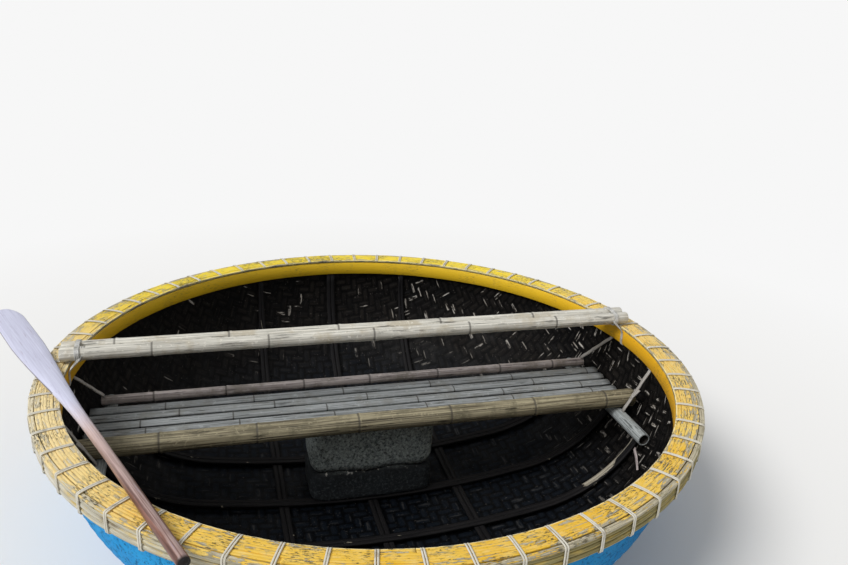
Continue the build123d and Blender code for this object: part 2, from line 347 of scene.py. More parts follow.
paint = blend(times(worn, 0.8), paint, (0.23, 0.21, 0.16))
slime = plus(parts["Z"], times(speckle(place, 6.0, 6.0), 0.10))
paint = cover(paint, (0.035, 0.045, 0.03), slime, 0.068, 0.040, 0.7)
rough = ramp(plus(worn, speckle(place, 30.0)), 0.3, 1.2, 0.5, 0.8)
surface(shader, paint, minus(lines["Height"], fleck), 0.0009, rough)

tar_inside, shader = finish("tar_inside", 0.08)
lines = grained(shader, 16.0, 420.0, 0.0)
place = where(shader)
parts = axes(place)
gap = attribute(shader, "gap")
tint = attribute(shader, "tint")
cloud = speckle(place, 5.0, 4.0)
tar = cover((0.0018, 0.0018, 0.0022), (0.0085, 0.0070, 0.0062), cloud, 0.38, 0.66)
tar = cover(tar, (0.017, 0.0145, 0.012), tint, 0.45, 0.95, 0.7)
# Painted reflection: the tar is tinted dark blue towards the floor, for the sky reflected in it.
tar = cover(tar, (0.0035, 0.0062, 0.0105), parts["Z"], 0.14, -0.02, 0.8)
dry = times(ramp(parts["Z"], 0.0, 0.22, 0.12, 0.45), ramp(lines["Streak"], 0.52, 0.72))
tar = blend(dry, tar, (0.030, 0.029, 0.028))
tar = cover(tar, (0.0004, 0.0004, 0.0005), gap, 0.25, 0.85, 0.85)
by_hand = plus(speckle(place, 2.6), ramp(parts["X"], -0.9, 0.9, -0.10, 0.08))
by_hand = minus(by_hand, ramp(parts["Y"], 0.2, 0.8, 0.0, 0.05))
shy = ramp(by_hand, 0.38, 0.60, 0.985, 0.80)
bare = times(ramp(minus(tint, shy), 0.0, 0.01), ramp(gap, 0.6, 0.3))
bare = times(bare, ramp(fibrous(lines, 28.0, 150.0, 4.0), 0.47, 0.53))
bare = times(bare, ramp(parts["Z"], 0.0, 0.28, 0.05, 1.0))
splint = cover((0.16, 0.13, 0.10), (0.66, 0.63, 0.58), lines["Streak"], 0.35, 0.65)
tar = blend(bare, tar, splint)
tar = cover(tar, (0.20, 0.18, 0.16), speckle(place, 170.0), 0.66, 0.72, 0.45)
rough = ramp(speckle(place, 14.0), 0.3, 0.7, 0.38, 0.75)
surface(shader, tar, plus(lines["Height"], speckle(place, 160.0, 5.0)), 0.0014, rough)

bm = bmesh.new()
bm.verts.layers.float.new("gap")
bm.faces.layers.float.new("tint")
bm.loops.layers.uv.new("grain")
outer_splints = 2
inner_splints = 3
top_edges = mat(bm, outer_splints, 0.0, 1)
outside = set(bm.faces)
top_edges += mat(bm, inner_splints, hull_wall, -1)
bmesh.ops.bridge_loops(bm, edges=top_edges)
for face in bm.faces:
    face.material_index = 0 if face in outside else 1
keep("woven_hull", bm, [hull_blue, tar_inside], "hull")

# Rim. Hoops of split bamboo clamp the hull's edge: one inside, a bundle outside, and five on
# top that hide the edge. The inner hoop and the top are painted yellow, and the paint flakes.
rim_radius = 0.997
rim_inside = 0.919
lashing_count = 60
first_lashing = radians(5.7565)


def lay_grain(bm, fibres):
    """Turns the faces outwards and writes the UV map. Fibres gives a corner's place in it, along
    and across, near that of the middle of its face."""
    bmesh.ops.recalc_face_normals(bm, faces=bm.faces)
    layer = bm.loops.layers.uv.new("grain")
    for face in bm.faces:
        middle = face.calc_center_median()
        for loop in face.loops:
            loop[layer].uv = fibres(loop.vert.co, middle)


def turn_near(place, middle):
    """Angle of a place, counted on from that of a middle near it, so that it never jumps."""
    return atan2(middle.y, middle.x) + atan2(middle.cross(place), middle.dot(place))


def hoop_fibres(shift):
    """Fibres that run round the boat."""
    def fibres(co, middle):
        turn = turn_near(co.xy, middle.xy)
        return turn * bowl_radius + shift, hypot(co.x, co.y) + co.z + shift
    return fibres


def bay(co):
    """How far a place round the rim is from the nearest lashing: 0 at it and 1 halfway on."""
    turn = (atan2(co.y, co.x) - first_lashing) * lashing_count / (2 * pi)
    return abs(turn - round(turn)) * 2


def spun(bm, outline, start, sweep, steps):
    """Spins an outline of radius and height about the boat's middle; a part turn gets its ends."""
    ring = [bm.verts.new((r * cos(start), r * sin(start), z)) for r, z in outline]
    edges = [bm.edges.new((ring[i - 1], ring[i])) for i in range(len(ring))]
    whole = sweep > 2 * pi - 1e-6
    if not whole:
        bm.faces.new(ring)
    made = bmesh.ops.spin(
        bm, geom=ring + edges, cent=(0, 0, 0), axis=(0, 0, 1), angle=sweep, steps=steps, use_merge=whole
    )
    if not whole:
        bmesh.ops.edgeloop_fill(bm, edges=edges_in(made["geom_last"]))


def lath_outline(low_r, high_r, low_z, high_z, crown, corner):
    """Section of a flat hoop of two laths, with worn corners and a fine groove between them."""
    middle = (low_r + high_r) / 2
    groove = 0.0002
    half = [
        (low_r, low_z), (low_r, high_z - corner), (low_r + corner * 0.3, high_z - corner * 0.3),
        (low_r + corner, high_z), (low_r + (high_r - low_r) / 4, high_z + crown),
        (middle - groove, high_z),
    ]
    return half + [(middle, high_z - groove)] + [(2 * middle - r, z) for r, z in reversed(half)]


rim_yellow, shader = finish("rim_yellow", 0.35)
lines = grained(shader, 14.0, 300.0, 0.0)
place = where(shader)
parts = axes(place)
wear = attribute(shader, "wear")
paint = cover((0.85, 0.485, 0.012), (0.87, 0.60, 0.11), speckle(place, 4.0, 5.0), 0.36, 0.62)
paint = cover(paint, (0.86, 0.66, 0.30), parts["X"], 0.70, 1.0, 0.5)
paint = cover(paint, (0.94, 0.73, 0.028), parts["Y"], 0.15, 0.70, 0.95)
# Paler towards the left: partly the paint's own paler tone, partly painted light for the stronger light
# on that side.
at_left = times(ramp(parts["X"], -0.60, -0.95), ramp(parts["Y"], 0.45, 0.15))
paint = blend(at_left, paint, (0.91, 0.74, 0.40))
sheltered = ramp(wear, -0.35, -0.55)
open_air = ramp(wear, -0.35, -0.55, 1.0, 0.0)
golden = cover((0.88, 0.46, 0.013), (0.91, 0.58, 0.020), parts["Y"], 0.0, 0.6)
paint = blend(sheltered, paint, golden)
thin = ramp(fibrous(lines, 30.0, 130.0, 5.0, 0.6), 0.46, 0.66, 0.0, 0.5)
thin = times(thin, ramp(parts["Y"], 0.3, 0.6, 0.8, 0.25))
paint = blend(times(thin, open_air), paint, (0.88, 0.72, 0.36))
paint = cover(paint, (0.66, 0.38, 0.03), lines["Streak"], 0.42, 0.75, 0.3)
# Painted highlight: a pale line along the inner edge of the rim top, where it catches the light.
reach = vectors("LENGTH", vectors("MULTIPLY", place, (1.0, 1.0, 0.0))["Vector"])["Value"]
rubbed_and_highlight = times(ramp(reach, 0.9225, 0.9205, 0.0, 0.7), open_air)
paint = blend(rubbed_and_highlight, paint, (0.93, 0.84, 0.52))
bamboo = cover((0.22, 0.19, 0.125), (0.70, 0.63, 0.46), lines["Streak"], 0.3, 0.7)
# The bare bamboo is paler at the left too: partly its own greyer tone, partly painted light.
bamboo = blend(times(at_left, 0.7), bamboo, (0.86, 0.76, 0.54))
patches = ramp(fibrous(lines, 9.0, 60.0, 5.0, 0.6), 0.42, 0.62, -0.05, 0.10)
chips = plus(fibrous(lines, 24.0, 130.0, 8.0, 0.68), patches)
flaked = ramp(plus(chips, times(wear, 0.22)), 0.635, 0.65)
colour = blend(flaked, paint, bamboo)
crowd = ramp(speckle(place, 11.0, 4.0), 0.38, 0.62, -0.06, 0.08)
flecks = ramp(plus(fibrous(lines, 62.0, 330.0, 4.0, 0.65), crowd), 0.61, 0.64)
flecks = times(flecks, ramp(sheltered, 0.0, 1.0, 0.85, 0.35))
colour = blend(flecks, colour, (0.085, 0.068, 0.034))
grime = ramp(fibrous(lines, 22.0, 60.0, 6.0, 0.7), 0.56, 0.66, 0.0, 0.6)
colour = blend(times(grime, open_air), colour, (0.27, 0.25, 0.15))
slits = times(lines["Crack"], ramp(sheltered, 0.0, 1.0, 0.9, 0.3))
colour = blend(slits, colour, (0.075, 0.058, 0.030))
relief = minus(minus(times(lines["Height"], 0.6), flaked), flecks)
surface(shader, colour, relief, 0.0010, ramp(flaked, 0.0, 1.0, 0.52, 0.82))

bare_bamboo, shader = finish("bare_bamboo", 0.35)
lines = grained(shader, 4.0, 430.0, 0.45)
# Towards the front right the hoop is yellow-olive and much darker: the tone is the bamboo's own, the
# darkening is painted shade on the side away from the light.
toward = vectors("DOT_PRODUCT", where(shader), (0.6, -0.8, 0.0))["Value"]
dark = cover((0.40, 0.37, 0.30), (0.12, 0.098, 0.033), toward, -0.2, 0.9)
light = cover((0.78, 0.75, 0.65), (0.385, 0.33, 0.14), toward, -0.2, 0.9)
colour = cover(dark, light, lines["Streak"], 0.32, 0.66)
stain = fibrous(lines, 9.0, 60.0, 5.0, 0.6)
colour = cover(colour, (0.15, 0.105, 0.05), stain, 0.56, 0.68, 0.8)
run_off = fibrous(lines, 13.0, 110.0, 5.0, 0.65)
colour = cover(colour, (0.56, 0.40, 0.10), run_off, 0.50, 0.62, 0.7)
colour = blend(times(lines["Crack"], 0.9), colour, (0.05, 0.04, 0.028))
surface(shader, colour, lines["Height"], 0.0015, 0.75)

strip_count = 5
strip_slit = 0.0007
strip_seat = 0.4592
strip_pitch = (rim_radius - rim_inside + strip_slit) / strip_count
lengths_to_a_hoop = 3
bare_sides = (0.26, 0.0, 0.0, 0.12, 0.56)
strip_crest = 0.4683
rim_crown = 0.0017
edge_drop = 0.0012
for index in range(strip_count):
    inner = rim_inside + index * strip_pitch
    outer = inner + strip_pitch - strip_slit
    crest = strip_crest + rim_crown * (1 - ((index - 2) / 2) ** 2)
    if index == strip_count - 1:
        inner += edge_drop
        crest -= edge_drop
    bm = bmesh.new()
    start = index * 1.3 + 0.4
    for part in range(lengths_to_a_hoop):
        sweep = 2 * pi / lengths_to_a_hoop
        joint = 0.0015
        drop = 0.0004 * part
        outline = lath_outline(inner, outer, strip_seat, crest - drop, crown=0.0002, corner=0.0007)
        spun(bm, outline, start + part * sweep, sweep - joint, steps=180)
    wear = bm.verts.layers.float.new("wear")
    for v in bm.verts:
        turn = atan2(v.co.y, v.co.x)
        wave = wavy(turn * 9, index * 7, 0)
        fine_wave = wavy(turn * 60, index * 7, 5)
        if v.co.z > strip_seat + 0.001:
            v.co.z += 0.0006 * wave + 0.0004 * fine_wave - 0.0008 * (1 - bay(v.co)) ** 4
        v.co.xy *= 1 + 0.0005 * wavy(turn * 22, index * 7, 9) / hypot(v.co.x, v.co.y)
        front_right = max(0.0, cos(turn + 0.75)) ** 4
        left = max(0.0, cos(turn - 3.0)) ** 4
        v[wear] = front_right * 0.16 * index + left * 0.25 + 0.35 * wave + bare_sides[index]
    lay_grain(bm, hoop_fibres(index * 3.7))
    keep(f"capping_{index + 1}", bm, [rim_yellow], f"rim_strip_{index + 1}")

bm = bmesh.new()
outline = [
    (0.9192, 0.4085), (0.9205, 0.4070), (0.9325, 0.4070), (0.9340, 0.4085), (0.9340, 0.4587),
    (0.9208, 0.4587), (0.9192, 0.4565), (0.9186, 0.4330),
]
spun(bm, outline, 0.0, 2 * pi, steps=360)
wear = bm.verts.layers.float.new("wear")
for v in bm.verts:
    turn = atan2(v.co.y, v.co.x)
    wave = wavy(turn * 8, v.co.z * 30, 31)
    v[wear] = 0.2 * wave - 0.75
    if v.co.z < 0.43:
        v.co.z += 0.0012 * (1 + wave) / 2
lay_grain(bm, hoop_fibres(21.0))
keep("inner_hoop_band", bm, [rim_yellow], "inner_hoop")

bm = bmesh.new()
outline = [(0.9475, 0.4200), (0.9900, 0.4200), (0.9900, 0.4586), (0.9475, 0.4586)]
spun(bm, outline, 0.0, 2 * pi, steps=180)
lath_height = 0.0098
outer_face = 0.9915
shrink = 0.0005
for index, low in enumerate((0.4185, 0.4335, 0.4485)):
    high = low + lath_height
    outline = [
        (0.9870, low), (0.9935, low - 0.0022), (0.9960, low), (0.9968, low + 0.0045),
        (0.9960, high), (0.9935, high + 0.0022), (0.9870, high),
    ]
    spun(bm, outline, index * 2.1, 2 * pi, steps=360)
for low_r, high_r in ((0.9480, 0.9600), (0.9615, 0.9735), (0.9750, 0.9865)):
    outline = [(low_r, 0.4215), (low_r + 0.002, 0.4160), (high_r - 0.002, 0.4160), (high_r, 0.4215)]
    spun(bm, outline, low_r * 50, 2 * pi, steps=240)
for v in bm.verts:
    turn = atan2(v.co.y, v.co.x)
    if hypot(v.co.x, v.co.y) > outer_face:
        squeeze = 0.0011 * (1 - bay(v.co)) ** 3
        wave = 0.0006 * wavy(turn * 14, v.co.z * 90, 3)
        v.co.xy *= 1 - (squeeze + wave + shrink) / rim_radius
    v.co.z += 0.0008 * wavy(turn * 11, v.co.z * 50, 8)
lay_grain(bm, hoop_fibres(40.0))
keep("outer_hoop_laths", bm, [bare_bamboo], "outer_hoop")

# Lashings. Two thin strands of split cane a few millimetres apart go over the rim every six
# degrees, down the outer hoop, under it and back to the hull, drawn tight and never quite straight.
cane_pale, shader = finish("cane_pale")
lines = grained(shader, 12.0, 700.0, 0.1)
colour = cover((0.50, 0.46, 0.36), (0.84, 0.81, 0.72), lines["Streak"], 0.3, 0.7)
colour = blend(times(lines["Crack"], 0.6), colour, (0.12, 0.10, 0.07))
colour = cover(colour, (0.27, 0.23, 0.17), speckle(where(shader), 45.0, 4.0), 0.58, 0.66, 0.5)
surface(shader, colour, lines["Height"], 0.0006, 0.6)


def strip_on(bm, line, across, width, thick, up, crown, cuts=3):
    """Lays a flat strip along a line of points: across and up give its directions at each."""
    made = bmesh.ops.create_grid(bm, x_segments=len(line) - 1, y_segments=cuts, size=0.5)
    lower = made["verts"]
    for v in lower:
        i, off = round((v.co.x + 0.5) * (len(line) - 1)), v.co.y * 2
        v.co = line[i] + across[i] * (off * width / 2) + up[i] * (crown * (1 - off * off))
    faces = list({f for v in lower for f in v.link_faces})
    made = bmesh.ops.extrude_face_region(bm, geom=faces, use_keep_orig=True)
    top = [v for v in made["geom"] if isinstance(v, bmesh.types.BMVert)]
    for v in top:
        near = min(range(len(line)), key=lambda i: (line[i] - v.co).length_squared)
        v.co += up[near] * thick


head = (
    (0.9200, 0.4640), (0.9215, 0.4678), (0.9260, 0.4698), (0.9400, 0.4709), (0.9580, 0.4713),
    (0.9760, 0.4707), (0.9900, 0.4694), (0.9960, 0.4675), (0.9972, 0.4630), (0.9974, 0.4480),
    (0.9974, 0.4300), (0.9966, 0.4165), (0.9935, 0.4135), (0.9800, 0.4133), (0.9620, 0.4133),
    (0.9500, 0.4138), (0.9478, 0.4165),
)
cane_thick = 0.0015
cane_crown = 0.0004
strand_width = 0.0043
bm = bmesh.new()
for index in range(lashing_count):
    turn = first_lashing + index * 2 * pi / lashing_count
    out = Vector((cos(turn), sin(turn), 0))
    aside = Vector((-sin(turn), cos(turn), 0))
    lean = chance.uniform(-0.0035, 0.0035)
    for strand in (-1, 1):
        spread = chance.uniform(0.0024, 0.0034)
        cross = chance.uniform(-0.0012, 0.0012)
        line, across, up = [], [], []
        for i, (radius, z) in enumerate(head):
            share = i / (len(head) - 1)
            offset = strand * spread + cross * (share - 0.3) + lean * (0.5 - share)
            line.append(out * radius + aside * offset + Vector((0, 0, z)))
            across.append(aside)
            after, before = head[min(i + 1, len(head) - 1)], head[max(i - 1, 0)]
            run = Vector((after[0] - before[0], after[1] - before[1])).normalized()
            up.append(out * -run.y + Vector((0, 0, run.x)))
        strip_on(bm, line, across, strand_width, cane_thick, up, cane_crown, 2)
lay_grain(bm, lambda co, middle: (hypot(co.x, co.y) - co.z, atan2(co.y, co.x) * rim_radius))
keep("lashings", bm, [cane_pale], "rim_lashings")

# Ribs. Split laths pressed against the inside in two crossing layers, two side by side to a rib,
# and tarred with the hull. The tar has worn off one of them near the right side, and a loose bare
# lath is tucked in between the wall and the bearer there.
rib_width = 0.034
rib_thick = 0.008
tarred, shader = finish("tarred_lath", 0.10)
lines = grained(shader, 8.0, 320.0, 0.2)
parts = axes(where(shader))
tar = cover((0.003, 0.003, 0.004), (0.015, 0.014, 0.014), lines["Streak"], 0.3, 0.7)
bared = cover((0.17, 0.15, 0.11), (0.56, 0.51, 0.41), lines["Streak"], 0.32, 0.66)
at_right = times(ramp(parts["X"], 0.655, 0.675), ramp(parts["X"], 0.785, 0.765))
trail = times(ramp(parts["X"], 0.76, 0.77), ramp(parts["Y"], -0.2255, -0.2245))
at_right = times(maths("MAXIMUM", at_right, trail), ramp(parts["Y"], -0.19, -0.21))
at_right = times(at_right, ramp(parts["Y"], -0.2445, -0.2435, 0.4, 1.0))
rubbed_and_highlight = plus(fibrous(lines, 14.0, 60.0, 6.0), times(at_right, 0.30))
colour = cover(tar, bared, rubbed_and_highlight, 0.68, 0.71)
colour = blend(times(lines["Crack"], 0.8), colour, (0.004, 0.004, 0.004))
surface(shader, colour, lines["Height"], 0.0015, 0.6)


def wall_radius(z, inset):
    """Radius of the bowl's side at a height."""
    return bilge_centre + sqrt((bilge_radius - inset) ** 2 - (bilge_top - z) ** 2)


def wall_height(radius, inset):
    """Height of the bowl at a radius, on its bottom arc or on its bilge arc."""
    round_bottom = bottom_radius - inset
    if radius < round_bottom * sin(bottom_run / bottom_radius):
        return keel + bottom_radius - sqrt(round_bottom**2 - radius**2)
    return bilge_top - sqrt(max((bilge_radius - inset) ** 2 - (radius - bilge_centre) ** 2, 0.0))


def rib(bm, place, inset, top, lengthways):
    """Two laths in an upright plane, from one side of the bowl down over its floor to the other."""
    reach = sqrt(wall_radius(top, inset) ** 2 - place**2)
    line, across, up = [], [], []
    steps = 56
    near = 0.002
    for i in range(steps + 1):
        along = reach * sin(pi * (i / steps - 0.5))
        radius = max(hypot(place, along), 1e-4)
        z = wall_height(radius, inset)
        slope = (z - wall_height(radius - near, inset)) / near if radius > near else 0.0
        inward = Vector((-slope * place / radius, -slope * along / radius, 1)).normalized()
        point = Vector((place, along, z))
        side_way = Vector((1, 0, -inward.x / max(inward.z, 0.25))).normalized()
        if not lengthways:
            point, side_way, inward = point.yxz, side_way.yxz, inward.yxz
        line.append(point)
        across.append(side_way)
        up.append(inward)
    parting = 0.0014
    crown = 0.0006
    for half in (-1, 1):
        beside = [point + side_way * (half * rib_width / 4) for point, side_way in zip(line, across)]
        strip_on(bm, beside, across, rib_width / 2 - parting, rib_thick, up, crown)


rib_gap = 0.0025
rib_layers = 0.0083
for name, node, places, inset, top, lengthways in (
    ("lower_laths", "lower_ribs", (-0.300, 0.0, 0.300), hull_wall + rib_gap, 0.4060, True),
    (
        "upper_laths", "upper_ribs", (-0.237, 0.0, 0.237), hull_wall + rib_gap + rib_layers,
        0.2080, False,
    ),
):
    bm = bmesh.new()
    for place in places:
        rib(bm, place, inset, top, lengthways)
    if lengthways:
        lay_grain(bm, lambda co, middle: (co.y * 1.2 + middle.x, co.x + co.z * 0.1))
    else:
        lay_grain(bm, lambda co, middle: (co.x * 1.2 + middle.y, co.y + co.z * 0.1))
    keep(name, bm, [tarred], node)

bare_lath, shader = finish("bare_lath")
lines = grained(shader, 9.0, 500.0, 0.2)
colour = cover((0.17, 0.135, 0.125), (0.58, 0.50, 0.49), lines["Streak"], 0.35, 0.65)
colour = blend(times(lines["Crack"], 0.8), colour, (0.03, 0.025, 0.022))
surface(shader, colour, lines["Height"], 0.0010, 0.7)

loose_steps = 12
loose_width = 0.011
loose_thick = 0.003
loose_crown = 0.0004
loose_from, loose_turn = -13.5, -10.7
loose_height, loose_fall = 0.183, 0.015
line, across, up = [], [], []
for i in range(loose_steps + 1):
    share = i / loose_steps
    turn = radians(loose_from + loose_turn * share)
    z = loose_height - loose_fall * share
    radius = wall_radius(z, hull_wall + rib_gap + loose_thick)
    out = Vector((cos(turn), sin(turn), 0))
    line.append(out * radius + Vector((0, 0, z)))
    across.append(Vector((0, 0, min(1.0, (loose_steps - i + 0.8) / 5))) + out * 0.35)
    up.append(-out)
bm = bmesh.new()
strip_on(bm, line, across, loose_width, loose_thick, up, loose_crown)
lay_grain(bm, lambda co, middle: (co.y, co.z))
keep("loose_lath", bm, [bare_lath])

# Bench. A thick bamboo pole in front, five split slats, a thin whole bamboo behind them, and a
# pole under each end, wedged fore and aft between the hull's sides with its open ends in view.
# Thin sticks tucked under the inner hoop hold the poles down.


def culm_colour(name, dark, light, stain, cracks):
    """Weathered skin of a whole bamboo, with long streaks and dirt, and painted shade in its open ends.
    """
    material, shader = finish(name, 0.35)
    lines = grained(shader, 3.5, 190.0, cracks)
    place = where(shader)
    dirt = tuple(0.35 * part for part in dark)
    colour = cover(dark, light, lines["Streak"], 0.36, 0.62)
    colour = cover(colour, stain, speckle(place, 13.0, 6.0, 0.66), 0.50, 0.64, 0.8)
    colour = cover(colour, light, speckle(place, 70.0, 4.0, 0.6), 0.60, 0.66, 0.6)
    colour = cover(colour, dirt, fibrous(lines, 7.0, 75.0, 5.0, 0.65), 0.57, 0.64, 0.85)
    colour = blend(times(lines["Crack"], 0.9), colour, (0.02, 0.018, 0.015))
    colour = cover(colour, (0.035, 0.030, 0.024), attribute(shader, "node"), 0.2, 0.8, 0.8)
    # Painted shade: the inside of each open end is painted near black.
    colour = blend(attribute(shader, "bore"), colour, (0.020, 0.016, 0.013))
    rough = ramp(lines["Streak"], 0.3, 0.7, 0.52, 0.78)
    surface(shader, colour, lines["Height"], 0.0012, rough)
    return material


grey_culm = culm_colour("grey_culm", (0.15, 0.16, 0.155), (0.47, 0.50, 0.50), (0.24, 0.245, 0.225), 0.3)
# The slats take a darker copy of the grey culm: painted shade on the bench.
shaded_slat_grey = culm_colour("shaded_slat_grey", (0.12, 0.125, 0.122), (0.37, 0.39, 0.395), (0.20, 0.20, 0.185), 0.3)
pale_culm = culm_colour("pale_culm", (0.38, 0.36, 0.31), (0.84, 0.81, 0.72), (0.50, 0.44, 0.33), 0.1)
old_culm = culm_colour("old_culm", (0.075, 0.060, 0.034), (0.42, 0.37, 0.24), (0.13, 0.115, 0.070), 0.6)
pink_culm = culm_colour("pink_culm", (0.21, 0.175, 0.165), (0.55, 0.49, 0.47), (0.20, 0.175, 0.15), 0.0)

stick_grey, shader = finish("stick_grey")
lines = grained(shader, 8.0, 420.0, 0.2)
colour = cover((0.20, 0.185, 0.165), (0.55, 0.52, 0.48), lines["Streak"], 0.35, 0.65)
colour = blend(times(lines["Crack"], 0.8), colour, (0.04, 0.035, 0.03))
surface(shader, colour, lines["Height"], 0.0010, 0.75)

culm_wall = 0.006
bore_depth = 0.12


def culm(bm, length, radius, knots):
    """Whole bamboo along X from the origin, open at both ends, with its knots at given places."""
    bore = radius - culm_wall
    mouth = [
        (bore_depth, 0.0), (bore_depth, bore), (0.0015, bore), (0, bore + 0.001),
        (0, radius - 0.001), (0.002, radius),
    ]
    marks = []
    for knot in knots:
        marks += [
            (knot + along, lift) for along, lift in (
                (-0.030, 0.0), (-0.009, 0.0003), (-0.004, -0.0004), (-0.0015, -0.0006),
                (0.0015, 0.0012), (0.006, 0.0016), (0.012, 0.0004), (0.030, 0.0),
            )
        ]
    spaces = [0.0, *knots, length]
    for near, far in zip(spaces, spaces[1:]):
        for share in (0.3, 0.5, 0.7):
            marks.append((near + share * (far - near), -0.0002))
    marks = sorted(m for m in marks if 0.003 < m[0] < length - 0.003)
    outline = mouth + [(x, radius + lift) for x, lift in marks]
    outline += [(length - x, r) for x, r in reversed(mouth)]
    node = bm.verts.layers.float.new("node")
    hollow = bm.verts.layers.float.new("bore")
    verts = [bm.verts.new((x, 0, z)) for x, z in outline]
    edges = [bm.edges.new(pair) for pair in zip(verts, verts[1:])]
    bmesh.ops.spin(
        bm, geom=verts + edges, cent=(0, 0, 0), axis=(1, 0, 0), angle=2 * pi, steps=28, use_merge=True
    )
    bmesh.ops.remove_doubles(bm, verts=bm.verts, dist=0.00005)
    for v in bm.verts:
        v[node] = max([0.0] + [1 - abs(v.co.x - knot) / 0.006 for knot in knots])
        v[hollow] = float(hypot(v.co.y, v.co.z) < bore + 0.0005)


def pole(name, start, length, radius, knots, material, node, turned=0.0, bend=0.0):
    """A bamboo pole, bent and uneven as it grew, laid from its start along X turned about Z."""
    bm = bmesh.new()
    culm(bm, length, radius, knots)
    x, y = start[:2]
    for v in bm.verts:
        share = v.co.x / length
        v.co.yz *= 1 + 0.02 * wavy(v.co.x * 4, atan2(v.co.z, v.co.y), y * 9)
        v.co.y += bend * (sin(pi * share) ** 2) * (1 if share < 0.55 else -0.6)
    lay_grain(bm, lambda co, middle: (co.x + y * 13, turn_near(co.yz, middle.yz) * radius + x))
    bm.transform(Matrix.Translation(start) @ Matrix.Rotation(turned, 4, "Z"))
    keep(name, bm, [material], node)


bench_half = 0.8855
bench_pole_y = -0.098
slat_seat = 0.253
bench_pole_radius = 0.030
pole(
    "bench_front_pole", (-bench_half, bench_pole_y, slat_seat + bench_pole_radius), 2 * bench_half,
    bench_pole_radius, (0.22, 0.50, 0.81, 1.11, 1.40, 1.66), old_culm,
    "bench_pole", bend=0.0015,
)
rear_culm_y = 0.215
rear_culm_radius = 0.0154
rear_culm_half = 0.8552
pole(
    "bench_rear_bamboo", (-rear_culm_half, rear_culm_y, slat_seat + rear_culm_radius),
    2 * rear_culm_half, rear_culm_radius, (0.16, 0.39, 0.65, 0.88, 1.13, 1.37, 1.58), pink_culm,
    "bench_rear_culm",
)
bearer_line = 0.8335
bearer_reach = 0.2845
bearer_radius = 0.0218
bearer_height = 0.2307
for side, hand in ((-1, "left"), (1, "right")):
    pole(
        f"bearer_pole_{hand}", (side * bearer_line, -bearer_reach, bearer_height), 2 * bearer_reach,
        bearer_radius, (0.24, 0.45), grey_culm, f"bearer_{hand}", turned=pi / 2,
    )

slat_width = 0.038
slat_first = -0.035
slat_pitch = 0.050
slat_steps = 72
slat_count = 5
hull_reach = 0.9070
slat_swell = 0.0007
half = slat_width / 2
left = [
    (-half, 0), (-half, 0.0050), (-half + 0.0015, 0.0068), (-half * 0.66, 0.0092),
    (-half * 0.3, 0.0113),
]
hollow = [(half * 0.5, 0.0012), (-half * 0.5, 0.0012)]
outline = left + [(-y, z) for y, z in reversed(left)] + hollow
for index in range(slat_count):
    middle_y = slat_first + index * slat_pitch
    half_length = min(bench_half, sqrt(hull_reach**2 - (abs(middle_y) + half) ** 2))
    bm = bmesh.new()
    ring = [bm.verts.new((-half_length, y, z)) for y, z in outline]
    edges = [bm.edges.new((ring[i - 1], ring[i])) for i in range(len(ring))]
    bm.faces.new(ring)
    step = Vector((2 * half_length / slat_steps, 0, 0))
    made = bmesh.ops.spin(
        bm, geom=ring + edges, cent=(0, 0, 0), axis=(0, 0, 1), dvec=step, angle=0, steps=slat_steps
    )
    bmesh.ops.edgeloop_fill(bm, edges=edges_in(made["geom_last"]))
    node = bm.verts.layers.float.new("node")
    bm.verts.layers.float.new("bore")
    first_knot = chance.uniform(-0.16, 0.16)
    knots = [first_knot + spot for spot in (-0.78, -0.50, -0.20, 0.11, 0.42, 0.72)]
    for knot in knots:
        for beside in (-0.010, -0.0035, -0.0012, 0.0012, 0.0035, 0.010):
            geom = [*bm.verts, *bm.edges, *bm.faces]
            spot = (knot + beside, 0, 0)
            bmesh.ops.bisect_plane(bm, geom=geom, plane_co=spot, plane_no=(1, 0, 0))
    for v in bm.verts:
        nearest = min(abs(v.co.x - knot) for knot in knots)
        swell = max(0.0, 1 - nearest / 0.010)
        v[node] = max(0.0, 1 - max(0.0, nearest - 0.0013) / 0.002)
        if v.co.z > 0.003:
            v.co.z += slat_swell * swell
        v.co.y += 0.0016 * wavy(v.co.x * 2.4, index * 5, 0)
        v.co.y *= 1 + 0.035 * wavy(v.co.x * 5, index * 5, 4)
        v.co.y += middle_y
        v.co.z += slat_seat
    lay_grain(bm, lambda co, middle: (co.x + middle_y * 17, co.y + co.z))
    keep(f"slat_{index + 1}", bm, [shaded_slat_grey], f"bench_slat_{index + 1}")

